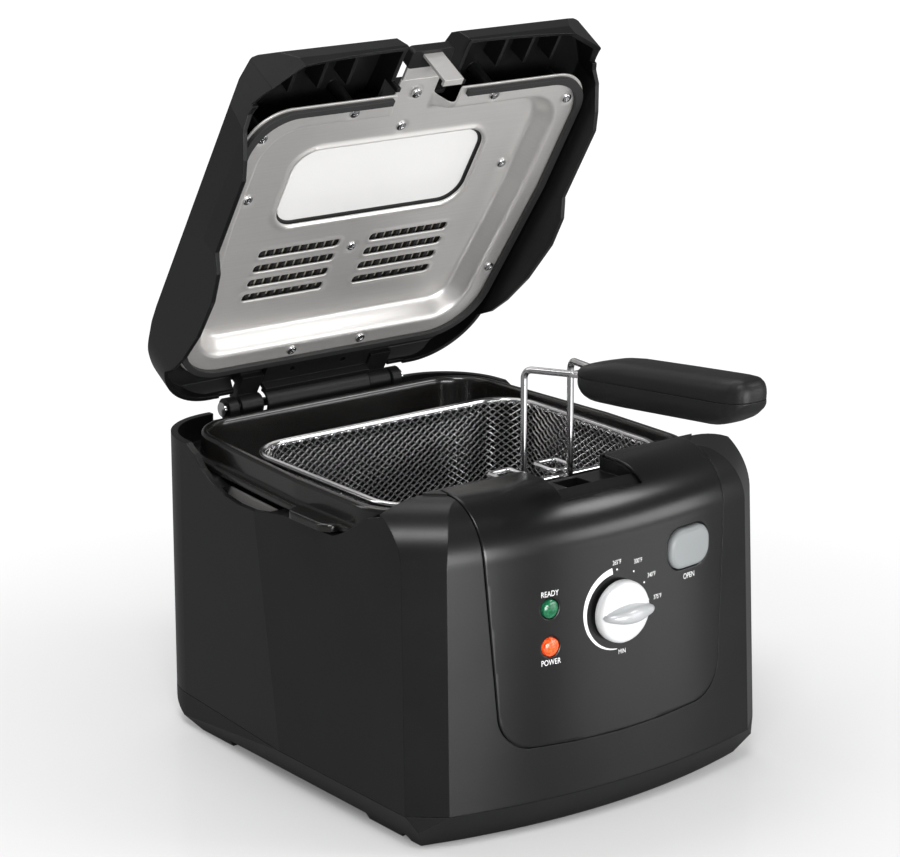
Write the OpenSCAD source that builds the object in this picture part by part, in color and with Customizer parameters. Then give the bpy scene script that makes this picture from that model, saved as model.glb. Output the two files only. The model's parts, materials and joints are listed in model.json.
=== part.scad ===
// Household deep fryer: cool-touch shell, lift-out oil pot, wire basket on a
// folding-style grip, hinged lid with window and filter. Front faces -Y, up is +Z,
// millimetres, standing on Z = 0. Rest pose: lid open, basket raised to drain.

/* [Body] */
// full width across the plinth joint
body_width = 230; // [200:1:280]
// front bow to rear wall
body_depth = 275; // [240:1:330]
// table to top of the hood
body_height = 175; // [146:1:210]
// moulded shell thickness
wall = 3; // [2:0.1:4]
// plinth height under the shell
plinth_height = 20; // [16:0.5:24]
// diameter of the rubber pads
pad_diameter = 14; // [11:0.5:17]

/* [Lid] */
// moulded thickness of the lid
lid_wall = 2.5; // [2:0.1:3]
// glass width
window_width = 126; // [105:1:151]
// opening angle from closed
lid_angle = 57.8; // [48:0.1:69]

/* [Basket] */
// mesh basket height below the rim
basket_height = 58; // [48:1:64]
// rim wire diameter
rim_wire = 4; // [3.3:0.1:4.8]
// handle wire diameter
handle_wire = 3.5; // [2.9:0.1:4.2]
// grip length
grip_length = 121; // [100:1:146]

/* [Controls] */
// dial diameter
knob_diameter = 32; // [26:0.5:38]
// release button width
button_width = 29.5; // [25:0.5:35]
// indicator lens diameter
lens_diameter = 9.5; // [8:0.1:11.4]

/* [Hidden] */
$fn = 64;
e = 0.3;
hw = body_width / 2;
yr = body_depth - 125;
zt = body_height;
zp = plinth_height;
sag = 13;
heel = 50;
xf = hw - 16.6;
rb = (xf * xf + sag * sag) / (2 * sag);
cb = rb - 125;
hood_y = -75.5;
deck_z = zt - 26.5;
rim_z = zt - 10;
ax_y = yr - 6;
ax_z = zt - 11;
ln_z = zt - 6.8;
pot_back = yr - 17;
pot_floor = zp + 32;
post_y = [-84, yr - 45];
knob_x = -1;
knob_z = zt * 0.6286;
lamp_x = -42;
ready_z = knob_z + 8;
power_z = knob_z - 11.5;
btn_x = 49;
btn_z = zt - 43;
btn_h = 21;
bw = hw - 26;
bas_f = -60;
bas_b = yr - 72;
bas_z = zt - 13.5;
hx = 15;
hy = -63.85;
hz = zt + 48;
rise = 5.4;
grip_r = 11.5;
notch_x = 19.5;
notch_y = -59.3;
nose_y = -84.7;
hook_y = -89;

// screw post centre from the middle, front and rear
function post_x(y) = y < 0 ? hw - 14 : hw - 20;

// front surface at (x, z), moved in by i
function front_at(x, z, i) = cb - sqrt(pow(rb + 0.9 - 6.1 * (z + 1) / (zt - 29) - i, 2) - x * x);

// ---- shared shapes ----

// rounded rectangle from corner to corner
module rr(x0, y0, x1, y1, r) {
  translate([x0 + r, y0]) square([x1 - x0 - 2 * r, y1 - y0]);
  translate([x0, y0 + r]) square([x1 - x0, y1 - y0 - 2 * r]);
  for (x = [x0 + r, x1 - r]) for (y = [y0 + r, y1 - r]) translate([x, y]) circle(r);
}

// round bar from p to q
module bar(p, q, r) {
  d = q - p;
  l = norm(d);
  translate(p) rotate([0, acos(d[2] / l), atan2(d[1], d[0])]) cylinder(r = r, h = l);
}

// body outline seen from above, moved in by i, with its rear wall at yb
module plan(i, yb) {
  cx = hw - (40.12 + (yb - 50) * 0.07874);
  k = 40 - i;
  for (s = [-1, 1]) translate([s * cx, yb - 40]) circle(k);
  polygon([[-(hw - 43.3 - 1.531 * i), -135], [hw - 43.3 - 1.531 * i, -135],
    [hw - i, -97.7 + 0.458 * i], [hw - i, 10],
    [cx + 0.9969 * k, yb - 40 + 0.0785 * k], [cx, yb - i],
    [-cx, yb - i], [-cx - 0.9969 * k, yb - 40 + 0.0785 * k],
    [-hw + i, 10], [-hw + i, -97.7 + 0.458 * i]]);
}

// bowed front that leans back and rolls over into the hood
module front_roll(i) {
  translate([0, cb, 0]) rotate_extrude($fn = 180) {
    polygon([[0, -1], [rb + 0.9 - i, -1], [rb - 5.2 - i, zt - 30],
      [rb - 35.2, zt - 30], [rb - 35.2, zt - i], [0, zt - i]]);
    intersection() {
      translate([rb - 35.2, zt - 30]) circle(30 - i);
      translate([rb - 35.2, zt - 30.2]) square([40, 40]);
    }
  }
}

// corner facet with the same roll, s = -1 left, 1 right
module facet_roll(s, i) {
  translate([s * (hw + xf) / 2, -104.85, 0])
    rotate([0, 0, s < 0 ? 229.25 : -49.25])
    rotate([90, 0, 0]) linear_extrude(900, center = true) {
      polygon([[-500, -1], [0.8 - i, -1], [-5 - i, zt - 31], [-35, zt - 31],
        [-35, zt + 2], [-500, zt + 2]]);
      intersection() {
        translate([-35, zt - 31]) circle(30 - i);
        translate([-35, zt - 31.2]) square([40, 40]);
      }
    }
}

// slight draft of the side walls
module draft(i) {
  rotate([90, 0, 0]) linear_extrude(900, center = true)
    polygon([[-hw - 0.2 + i, -1], [hw + 0.2 - i, -1],
      [hw - 2.4 - i, zt + 3], [-hw + 2.4 + i, zt + 3]]);
}

// whole outside of the body, moved in by i
module body_form(i, z0) {
  intersection() {
    translate([0, 0, z0]) linear_extrude(zt + 5 - z0) plan(i, yr);
    front_roll(i);
    facet_roll(-1, i);
    facet_roll(1, i);
    draft(i);
  }
}

// extrude a (y, z) drawing across the full width
module across(w) {
  rotate([90, 0, 90]) linear_extrude(w, center = true) children();
}

// extrude an (x, z) drawing from y0 to y1
module through(y0, y1) {
  translate([0, y1, 0]) rotate([90, 0, 0]) linear_extrude(y1 - y0) children();
}

// everything under the top edge of the side walls, raised by g
module under_edge(g) {
  across(600) polygon([[-200, -5], [yr + 60, -5], [yr + 60, zt - 13 + g],
    [106, zt - 13 + g], [98, zt - 17 + g], [90, zt - 23 + g], [80, zt - 27.5 + g],
    [66, zt - 31 + g], [50, zt - 32.2 + g], [34, zt - 31.4 + g], [20, zt - 29 + g],
    [6, zt - 27 + g], [-36, zt - 27 + g], [-46, zt - 22.5 + g], [-56, zt - 16 + g],
    [-64, zt - 11 + g], [hood_y, zt - 7.5 + g], [hood_y, zt + 8], [-200, zt + 8]]);
}

// control panel outline in (x, z), grown by g
module panel_outline(g) {
  a = hw - 37.5 + g;
  b = hw - 43.2 + g;
  zb = zt * 0.277 - g;
  polygon(concat([[a, zt + 10], [a, zt - 25]],
    [for (t = [0 : 7.5 : 82.5]) [b - 20 + 20 * cos(t), zb + 20 - 20 * sin(t)]],
    [[30, zb - 1.2], [0, zb - 1.8], [-30, zb - 1.2]],
    [for (t = [97.5 : 7.5 : 180]) [20 - b + 20 * cos(t), zb + 20 - 20 * sin(t)]],
    [[-a, zt - 25], [-a, zt + 10]]));
}

// place lid parts, drawn closed, at the open angle
module on_lid() {
  translate([0, ax_y, ax_z]) rotate([-lid_angle, 0, 0])
    translate([0, -ax_y, -ax_z]) children();
}

// oil pot outline, moved in by i
module pot_plan(i) {
  f = -75 + (i - 6.5) * 0.55;
  intersection() {
    plan(i, pot_back + 6.5);
    rr(-hw + i, f, hw - i, yr + 80, 30);
  }
}

// recess in the hood under the latch and the basket wires
module scoop_form(g) {
  across(50 - 2 * g) polygon([[hood_y - 20 - 13 + g, zt + 5], [hood_y + 10, zt + 5],
    [hood_y + 10, zt - 9 + g], [hood_y - 22, zt - 8 + g]]);
}

// release button outline in (x, z), grown by g
module button_outline(g) {
  translate([btn_x, btn_z])
    rr(-button_width / 2 - g, -btn_h / 2 - g, button_width / 2 + g, btn_h / 2 + g, 9 + g);
}

// window outline seen from above, grown by g
module window_outline(g) {
  rr(-window_width / 2 - g, -31 - g, window_width / 2 + g, 24 + g, 15 + g);
}

// lid outside, drawn closed, moved in by i
module lid_form(i) {
  intersection() {
    translate([0, 0, zt - 60]) linear_extrude(120) intersection() {
      plan(0.6 + i, yr - 11.5);
      polygon([[-86 + i / 2, -97 + i], [86 - i / 2, -97 + i], [105 - i, -88 + i],
        [hw - 0.6 - i, -63], [hw - 0.6 - i, yr + 20], [-hw + 0.6 + i, yr + 20],
        [-hw + 0.6 + i, -63], [-105 + i, -88 + i]]);
    }
    across(600) polygon([[-130, zt - 40], [yr + 20, zt - 40], [yr - 11.5 - i, zt - 6],
      [yr - 16 - i, zt + 3 - i], [yr - 40, zt + 11 - i], [60, zt + 17 - i],
      [10, zt + 20 - i], [-40, zt + 20 - i], [-80, zt + 17.5 - i],
      [-90, zt + 15 - i], [-94 + i, zt + 11], [-99 + i, zt - 4], [-130, zt - 40]]);
    through(-300, 300) polygon([[-hw - 1 + i, zt - 40], [hw + 1 - i, zt - 40],
      [hw - 1.5 - i, zt + 8], [hw - 6 - i, zt + 13 - i], [hw - 14, zt + 16.5 - i],
      [40, zt + 20 - i], [-40, zt + 20 - i], [-hw + 14, zt + 16.5 - i],
      [-hw + 6 + i, zt + 13 - i], [-hw + 1.5 + i, zt + 8]]);
  }
}

// ---- fixed body ----

module outer_housing() {
  color([0.1, 0.1, 0.105]) difference() {
    union() {
      difference() {
        intersection() { body_form(0, zp); under_edge(0); }
        // control space behind the front wall
        intersection() {
          body_form(wall, zp - 1);
          translate([-300, -300, -1]) cube([600, 300 + hood_y - wall, 400]);
        }
        // pot space under the deck
        intersection() {
          body_form(wall, zp - 1);
          translate([-300, hood_y - wall - 0.5, -1]) cube([600, 600, deck_z - wall + 1]);
        }
        // seat above the deck
        intersection() {
          translate([0, 0, deck_z]) linear_extrude(60) plan(wall + 0.8, yr);
          translate([-300, hood_y, 0]) cube([600, 600, 400]);
        }
      }
      // tray under the hood recess
      intersection() {
        body_form(0.5, zp);
        translate([-28, hood_y - 36, zt - 13]) cube([56, 36 - 0.2, 20]);
      }
      // screw posts
      intersection() {
        for (s = [-1, 1]) for (y = post_y) {
          translate([s * post_x(y), y, zp]) cylinder(d = 11, h = 14);
          translate([s < 0 ? -hw : post_x(y), y - 2, zp]) cube([hw - post_x(y), 4, 14]);
        }
        body_form(1, zp - 1);
      }
      // block behind the hinge bracket
      translate([-64, yr - 16, deck_z - 3]) cube([128, 14, 5]);
    }
    // hole for the oil pot
    translate([0, 0, deck_z - 10]) linear_extrude(30) pot_plan(13.2);
    // seat for the control panel
    intersection() {
      difference() { body_form(-2, zp); body_form(1.6, zp - 2); }
      through(-200, hood_y - 1.6) panel_outline(0.5);
    }
    scoop_form(0);
    // latch slot in the recess floor
    translate([-8, hook_y - 1.5, zt - 20]) cube([16, 12.5, 20]);
    // button, dial and lamp openings
    through(-140, -90) button_outline(0.5);
    translate([knob_x, -90, knob_z]) rotate([90, 0, 0]) cylinder(r = 4, h = 50);
    for (z = [ready_z, power_z]) translate([lamp_x, -90, z])
      rotate([90, 0, 0]) cylinder(r = lens_diameter / 2 + 0.3, h = 50);
    // clearance behind the pot for the lid hinge
    translate([-64, yr - 19, zt - 18]) cube([128, 40, 30]);
    // screw pilot holes
    for (s = [-1, 1]) for (y = post_y)
      translate([s * post_x(y), y, zp - 1]) cylinder(r = 1.6, h = 13);
    // cord inlet hole
    translate([hw - 62, yr - 10, zp + 22]) rotate([-90, 0, 0]) cylinder(r = 8, h = 20);
  }
}

module base_plinth() {
  color([0.09, 0.09, 0.095]) difference() {
    intersection() {
      linear_extrude(zp - e) plan(0, yr);
      translate([0, cb, 0]) rotate_extrude($fn = 180)
        polygon([[0, -1], [rb - 15, -1], [rb - 15, 0], [rb, zp], [0, zp]]);
      through(-300, 300) polygon([[-hw + 12, 0], [hw - 12, 0], [hw, zp], [-hw, zp]]);
      across(600) polygon([[-140, 0], [yr - heel, 0], [yr, zp], [-140, zp]]);
    }
    // hollow inside, with a floor that rises with the heel
    difference() {
      intersection() {
        linear_extrude(zp + 8) plan(16, yr);
        translate([0, cb, 0]) cylinder(r = rb - 20, h = zp + 8, $fn = 180);
        across(600) polygon([[-140, 8], [yr - heel + 4.8 * heel / zp, 8],
          [yr, zp + 3.2], [yr, zp + 8], [-140, zp + 8]]);
      }
      for (s = [-1, 1]) for (y = post_y)
        translate([s * (post_x(y) + 2), y, 0]) cylinder(d = 22, h = zp + 1);
    }
    // arches between the moulded feet, and the space between them
    for (s = [-1, 1]) translate([s < 0 ? -hw - 1 : hw - 42, -52, -1])
      cube([43, yr - 26, 5.3]);
    translate([-hw + 41, -81, -1]) cube([body_width - 82, yr + 42, 5.3]);
    // pad seats and screw wells
    translate([-300, -300, -1]) cube([600, 600, 1.8]);
    for (s = [-1, 1]) for (y = [-62, yr - 68]) translate([s * (hw - 32), y, -1])
      cylinder(d = pad_diameter + 0.3, h = 4);
    for (s = [-1, 1]) for (y = post_y)
      translate([s * post_x(y), y, -1]) {
        cylinder(r = 2.1, h = zp + 2);
        cylinder(r = 4.2, h = 11);
      }
  }
}

module control_panel() {
  color([0.03, 0.03, 0.033]) difference() {
    intersection() {
      difference() { body_form(-0.5, zp); body_form(1.5, zp - 2); }
      through(-200, hood_y - 2) panel_outline(0);
    }
    scoop_form(0);
    through(-140, -60) button_outline(0.5);
    translate([knob_x, -60, knob_z]) rotate([90, 0, 0]) cylinder(r = 4, h = 80);
    for (z = [ready_z, power_z]) translate([lamp_x, -60, z])
      rotate([90, 0, 0]) cylinder(r = lens_diameter / 2 + 0.3, h = 80);
  }
}

module foot_pads() {
  color([0.05, 0.05, 0.05]) for (s = [-1, 1]) for (y = [-62, yr - 68])
    translate([s * (hw - 32), y, 0]) cylinder(d = pad_diameter, h = 2.9);
}

module base_screws() {
  color([0.6, 0.6, 0.62]) for (s = [-1, 1]) for (y = post_y)
    translate([s * post_x(y), y, 8.6]) {
      cylinder(r = 1.55, h = 22);
      cylinder(r = 3.8, h = 1.3);
    }
}

module cord_inlet() {
  color([0.06, 0.06, 0.06]) translate([hw - 62, yr - 7, zp + 22]) rotate([-90, 0, 0])
    difference() {
      union() { cylinder(r = 7.8, h = 9); translate([0, 0, 7.2]) cylinder(r = 10.5, h = 3); }
      translate([0, 0, -1]) cylinder(r = 3.6, h = 20);
    }
}

module heat_shield() {
  z = pot_floor - 17.4;
  color([0.62, 0.63, 0.65]) difference() {
    translate([0, 0, z]) linear_extrude(deck_z - wall - 0.3 - z) pot_plan(8.4);
    translate([0, 0, z + 1]) linear_extrude(200) pot_plan(9.4);
  }
  // legs down to the plinth floor
  color([0.62, 0.63, 0.65]) for (s = [-1, 1]) for (y = [-45, yr - 60])
    translate([s * (hw - 40) - 6, y, 8.2]) cube([12, 14, z - 8.2]);
}

module heater_plate() {
  color([0.55, 0.55, 0.56]) translate([0, (pot_back - 70) / 2, pot_floor - 9.3])
    linear_extrude(6.8) rr(-hw + 35, -70, hw - 35, 70, 24);
}

module heating_element() {
  cy = (pot_back - 70) / 2;
  z = pot_floor - 12.6;
  color([0.35, 0.34, 0.33]) {
    for (s = [-1, 1]) translate([s * 22, cy, z])
      rotate([0, 0, s > 0 ? -90 : 90]) rotate_extrude(angle = 180)
      translate([36, 0]) circle(3.2);
    for (y = [-36, 36]) bar([-22, cy + y, z], [22, cy + y, z], 3.2);
    // cold ends toward the front
    for (x = [-10, 10]) bar([x, cy - 36, z], [x, cy - 74, z], 3.2);
  }
}

module thermostat() {
  color([0.78, 0.76, 0.7]) {
    translate([knob_x - 15, -104, knob_z - 14]) cube([30, 15, 28]);
    // mounting strap, held behind the front wall
    difference() {
      translate([knob_x - 30, -107.4, knob_z - 6]) cube([60, 3.4, 12]);
      translate([knob_x, -100, knob_z]) rotate([90, 0, 0]) cylinder(r = 3.3, h = 20);
    }
    for (s = [-1, 1]) {
      y = front_at(29.5 + abs(knob_x), knob_z + 3.5, wall) + 0.3;
      translate([knob_x + s * 26, y, knob_z]) rotate([-90, 0, 0])
        cylinder(r = 3.5, h = -107.2 - y);
    }
    translate([knob_x - 4, -89, knob_z - 4]) cube([8, 8, 3]);
  }
}

module thermal_cutout() {
  color([0.82, 0.8, 0.74]) translate([46, (pot_back - 70) / 2, pot_floor - 16]) {
    cylinder(r = 8, h = 6.4);
    translate([-7.6, -4, -0.4]) cube([15.2, 8, 1.5]);
  }
}

module terminal_block() {
  color([0.85, 0.84, 0.8]) {
    translate([-20, -98, 8.2]) cube([40, 16, 14]);
    for (x = [-14, -4.7, 4.7, 14]) translate([x, -90, 22]) cylinder(r = 3, h = 3);
  }
}

module lens_form(z) {
  intersection() {
    translate([lamp_x, -100, z]) rotate([90, 0, 0]) cylinder(d = lens_diameter, h = 40);
    difference() { body_form(-1.6, zp); body_form(5, zp - 1); }
  }
}
module ready_lens() { color([0.02, 0.3, 0.1]) lens_form(ready_z); }
module power_lens() { color([0.9, 0.12, 0.03]) lens_form(power_z); }

module lamp_holders() {
  color([0.8, 0.8, 0.78]) for (z = [ready_z, power_z]) difference() {
    intersection() {
      translate([lamp_x, -98, z]) rotate([90, 0, 0]) cylinder(r = lens_diameter / 2 + 2.5, h = 40);
      body_form(wall + 0.2, zp - 1);
    }
    translate([lamp_x, -101, z]) rotate([90, 0, 0]) cylinder(r = lens_diameter / 2 + 0.15, h = 40);
  }
}

module oil_pot() {
  color([0.035, 0.035, 0.04]) {
    difference() {
      union() {
        translate([0, 0, deck_z + e]) linear_extrude(4) pot_plan(6.5);
        translate([0, 0, deck_z + e]) linear_extrude(rim_z - deck_z - e) pot_plan(11);
        translate([0, 0, pot_floor - 2]) linear_extrude(deck_z - pot_floor + 4) pot_plan(14);
        // lift tabs over the side walls
        for (s = [-1, 1]) translate([s < 0 ? -hw - 0.5 : hw - 20, -34, deck_z + e])
          linear_extrude(4) rr(0, 0, 20.5, 38, 8);
      }
      translate([0, 0, pot_floor]) linear_extrude(300) pot_plan(16);
    }
  }
}

module hinge_bracket() {
  color([0.08, 0.08, 0.085]) difference() {
    union() {
      translate([-60, yr - 15.5, deck_z + 2 + e]) cube([120, 14.4 - wall, 4]);
      for (x = [-58, -20, 14, 52]) {
        translate([x, ax_y - 6, deck_z + 4]) cube([6, 8.2, ax_z - deck_z - 4]);
        translate([x, ax_y, ax_z]) rotate([0, 90, 0]) cylinder(r = 6, h = 6);
      }
      // curved cover in front of the springs, and its foot
      across(68.8) translate([ax_y, ax_z]) difference() {
        circle(8);
        circle(6.5);
        polygon([[0, 0], [-2.1, 20], [20, 20], [20, -20], [-12.9, -15.4]]);
      }
      across(68.8) translate([ax_y - 6.6, deck_z + 4])
        square([1.8, ax_z - 5.1 - deck_z - 4]);
    }
    translate([-80, ax_y, ax_z]) rotate([0, 90, 0]) cylinder(r = 2.5, h = 160);
  }
}

module hinge_pin() {
  color([0.72, 0.72, 0.74]) translate([-60, ax_y, ax_z]) rotate([0, 90, 0]) {
    cylinder(r = 2.45, h = 120);
    cylinder(r = 4, h = 1.6);
    translate([0, 0, 118.4]) cylinder(r = 4, h = 1.6);
  }
}

module hinge_springs() {
  color([0.66, 0.66, 0.68]) for (x = [-12.5, 1.5]) for (k = [0 : 4])
    translate([x + k * 2.5, ax_y, ax_z]) rotate([0, 90, 0])
      rotate_extrude() translate([3.7, 0]) circle(1.1, $fn = 24);
}

// ---- lid ----

module lid_shell() {
  color([0.1, 0.1, 0.105]) on_lid() difference() {
    lid_form(0);
    difference() {
      lid_form(lid_wall);
      // walls of the handle notch
      translate([-notch_x - 2.5, -120, ln_z + 12.6])
        cube([2 * notch_x + 5, 120 + notch_y + 2.5, 120]);
      translate([-notch_x - 2.5, -120, zt - 60]) cube([2 * notch_x + 5, 120 - 72, 120]);
      // screw bosses and the window frame
      for (p = screws()) translate([p[0], p[1], ln_z + p[2] + 1.2]) cylinder(r = 3.6, h = 60);
      translate([0, 0, ln_z + 16]) linear_extrude(60) window_outline(6);
      // front ribs
      for (x = [-84, -66, -48, 48, 66, 84])
        translate([x - 1, -99, zt + 3]) cube([2, 25, 30]);
    }
    // bottom edge of the skirt
    difference() {
      across(600) polygon([[-120, zt - 70], [yr + 40, zt - 70], [yr + 40, ln_z - 1],
        [108, ln_z - 1], [100, zt - 14], [86, zt - 20], [64, zt - 26], [36, zt - 29.5],
        [18, zt - 27.5], [8, zt - 21.3], [-40, zt - 21.3], [-50, zt - 17],
        [-62, zt - 9.6], [-70, zt - 5.4], [hood_y + 0.8, zt - 5.4], [hood_y - 1, zt - 8],
        [-120, zt - 8]]);
    }
    // clearance over the side walls and behind the hood
    intersection() {
      body_form(-0.9, zp);
      union() {
        under_edge(0.9);
        translate([0, 0.9, 0]) under_edge(0.9);
      }
    }
    // handle notch
    translate([-notch_x, -130, zt - 60]) cube([2 * notch_x, 130 + notch_y, 140]);
    // window and vent openings
    translate([0, 0, zt - 40]) linear_extrude(100) window_outline(-3.5);
    for (x = [-36, 36]) for (y = [46, 55, 64, 73])
      translate([x - 22, y - 1.6, zt]) cube([44, 3.2, 60]);
    // relief for the body-side lugs and the hinge arms
    translate([-62, yr - 26, zt - 40]) cube([124, 60, 40 - 6.8 + 0.2]);
    translate([-52, yr - 22, zt - 8]) cube([104, 40, 9]);
    for (p = screws()) translate([p[0], p[1], ln_z]) cylinder(r = 1.3, h = p[2] + 9);
  }
}

// screw centres: x, y, height above the liner rim
function screws() = [[-23, 110.5, 0], [23, 110.5, 0], [-hw + 18.5, 70, 0],
  [hw - 18.5, 70, 0], [-hw + 32, 0, 10.5], [hw - 32, 0, 10.5], [-hw + 17, -53, 0],
  [hw - 17, -53, 0], [-45, -62.5, 0], [45, -62.5, 0], [0, -38.6, 10.5], [0, 46.8, 10.5]];

module liner_rim(i) {
  intersection() {
    plan(5.6 + i, 119 + 5.6);
    rr(-hw + 5.6 + i, -71 + i, hw - 5.6 - i, 400, 24);
  }
}

module lid_liner() {
  color([0.7, 0.7, 0.7]) on_lid() difference() {
    union() {
      translate([0, 0, ln_z]) linear_extrude(1.2) liner_rim(0);
      translate([0, 0, ln_z]) linear_extrude(11.7) liner_rim(15);
      // raised bed under the latch tongue
      translate([-16, -71, ln_z]) cube([32, 24, 10.2]);
    }
    translate([0, 0, ln_z - 1]) linear_extrude(11.5) liner_rim(16.2);
    translate([-14.8, -80, ln_z - 1]) cube([29.6, 40, 10]);
    // handle notch, leaving the tongue bed
    for (s = [-1, 1]) translate([s < 0 ? -notch_x - 1 : 12.6, -90, ln_z - 1])
      cube([notch_x - 11.6, 90 + notch_y, 20]);
    translate([0, 0, ln_z - 5]) linear_extrude(30) window_outline(-2);
    for (s = [-1, 1]) for (y = [42, 52.5, 63, 73.5])
      translate([s * 36 - 26, y - 2.1, ln_z - 5]) cube([52, 4.2, 30]);
    for (p = screws()) translate([p[0], p[1], ln_z - 2]) cylinder(r = 1.4, h = 20);
    translate([0, -62, ln_z - 2]) cylinder(r = 1.4, h = 20);
  }
}

module lid_gasket() {
  color([0.16, 0.16, 0.16]) on_lid() translate([0, 0, rim_z + 0.5])
    linear_extrude(ln_z - rim_z - 0.8) difference() {
      liner_rim(1);
      liner_rim(4.5);
      translate([-24, -90]) square([48, 32]);
    }
}

module window_glass() {
  color([0.8, 0.85, 0.88, 0.3]) on_lid() translate([0, 0, ln_z + 12.3])
    linear_extrude(3) window_outline(0);
}

module window_seal() {
  color([0.05, 0.05, 0.05]) on_lid() difference() {
    translate([0, 0, ln_z + 12]) linear_extrude(3.7) window_outline(3);
    translate([0, 0, ln_z + 12.2]) linear_extrude(3.2) window_outline(0.05);
    translate([0, 0, ln_z + 10]) linear_extrude(10) window_outline(-3);
  }
}

module filter_pad() {
  color([0.75, 0.72, 0.62]) on_lid() translate([0, 0, ln_z + 14.2])
    linear_extrude(4) difference() {
      rr(-66, 38, 66, 79, 5);
      translate([0, 46.8]) circle(4.2);
    }
}

module filter_cover() {
  color([0.12, 0.12, 0.125]) on_lid() translate([0, 0, ln_z + 12]) difference() {
    linear_extrude(2) rr(-68, 36, 68, 81, 6);
    for (s = [-1, 1]) for (k = [0 : 9])
      translate([s * 36 - 26 + k * 5.4, 39, -1]) cube([3, 38, 4]);
    translate([0, 46.8, -1]) cylinder(r = 4.2, h = 5);
  }
}

module latch_tongue() {
  color([0.66, 0.67, 0.68]) on_lid() difference() {
    union() {
      translate([-11.5, hook_y, ln_z + 10.5]) cube([23, -hook_y - 57, 1.5]);
      // hook that drops into the hood
      translate([-6, hook_y, zt - 19]) cube([12, 1.6, 24]);
      translate([-6, hook_y, zt - 19]) cube([12, 3.8, 1.8]);
    }
    translate([0, -62, ln_z]) cylinder(r = 1.4, h = 20);
  }
}

module latch_cap() {
  color([0.09, 0.09, 0.095]) on_lid() difference() {
    translate([0, 0, ln_z + 9]) linear_extrude(5)
      rr(-13.5, hook_y - 2.4, 13.5, hook_y + 9, 2.5);
    translate([-11.6, hook_y - 0.1, ln_z + 10.4]) cube([23.2, 20, 1.7]);
    translate([-6.1, hook_y - 0.1, ln_z]) cube([12.2, 1.8, 11]);
  }
}

module hinge_cover() {
  color([0.085, 0.085, 0.09]) on_lid() difference() {
    union() {
      translate([-35, yr - 30.5, ln_z + 0.2]) cube([70, 16, 4]);
      translate([-35, yr - 17, ln_z - 4.8]) cube([70, 2.5, 6]);
    }
    for (x = [-17, 17]) translate([x, yr - 24, ln_z - 2]) cylinder(r = 1.6, h = 10);
  }
}

module hinge_arms() {
  color([0.085, 0.085, 0.09]) on_lid() difference() {
    union() {
      for (x = [-50, 36]) {
        translate([x, ax_y, ax_z]) rotate([0, 90, 0]) cylinder(r = 6, h = 14);
        translate([x, yr - 24, ln_z - 0.6]) cube([14, 18, 5]);
        translate([x, yr - 32, ln_z + 2.6]) cube([14, 16, 5]);
      }
      translate([-50, yr - 30, ln_z + 4.4]) cube([100, 8, 3.2]);
    }
    translate([-80, ax_y, ax_z]) rotate([0, 90, 0]) cylinder(r = 2.5, h = 160);
  }
}

module lid_screws() {
  color([0.75, 0.75, 0.76]) on_lid() {
    for (p = screws()) translate([p[0], p[1], ln_z + p[2] - 1.8]) {
      cylinder(r = 2.9, h = 1.5);
      cylinder(r = 1.25, h = 9);
    }
    translate([0, -62, ln_z + 7.1]) { cylinder(r = 2.9, h = 1.5); cylinder(r = 1.25, h = 7); }
  }
}

// ---- controls ----

module temperature_knob() {
  y = front_at(0, knob_z - knob_diameter / 2, -0.5) - 0.4;
  color([0.62, 0.63, 0.64]) translate([knob_x, 0, knob_z]) {
    translate([0, y, 0]) rotate([90, 0, 0]) difference() {
      union() {
        cylinder(d = knob_diameter, h = 7);
        translate([-knob_diameter / 2 + 0.6, -3.2, 6]) cube([knob_diameter + 1.4, 6.4, 8]);
        cylinder(d = knob_diameter - 8, h = 8.2);
      }
      translate([0, 0, -1]) cylinder(r = 3.05, h = 11);
    }
  }
}

module knob_spindle() {
  color([0.72, 0.72, 0.74]) translate([knob_x, -104.3, knob_z]) rotate([90, 0, 0])
    cylinder(r = 3, h = 25);
}

module open_button() {
  color([0.5, 0.51, 0.52]) intersection() {
    through(-140, -104) button_outline(0);
    translate([0, cb, 0]) cylinder(r = rb - 1.2, h = 400, $fn = 180);
  }
}

module latch_slider() {
  color([0.8, 0.8, 0.78]) {
    // tail in the back of the button, arm to the middle, catch nose
    translate([btn_x - 6, -103.9, btn_z - 5]) cube([12, 7, 10]);
    translate([-5, -97, btn_z - 5]) cube([btn_x + 11, 3, 10]);
    translate([-5, -97, btn_z - 5]) cube([10, nose_y + 99.4, 10]);
    translate([-5, nose_y, btn_z - 5]) cube([10, 2.4, zt - 14.8 - btn_z + 5]);
  }
}

module button_spring() {
  color([0.66, 0.66, 0.68]) for (k = [0 : 8])
    translate([btn_x, -93.2 + k * 2.27, btn_z]) rotate([90, 0, 0])
      rotate_extrude() translate([4, 0]) circle(0.7, $fn = 20);
}

// ---- basket ----

module basket_rim() {
  r = rim_wire / 2;
  q = 24;
  color([0.78, 0.78, 0.79]) translate([0, 0, bas_z]) {
    for (y = [bas_f, bas_b]) bar([-bw + q, y, 0], [bw - q, y, 0], r);
    for (x = [-bw, bw]) bar([x, bas_f + q, 0], [x, bas_b - q, 0], r);
    for (c = [[1, 1, 0], [-1, 1, 90], [-1, -1, 180], [1, -1, 270]])
      translate([c[0] * (bw - q), c[1] > 0 ? bas_b - q : bas_f + q, 0])
      rotate([0, 0, c[2]]) rotate_extrude(angle = 90) translate([q, 0]) circle(r);
  }
}

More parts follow.
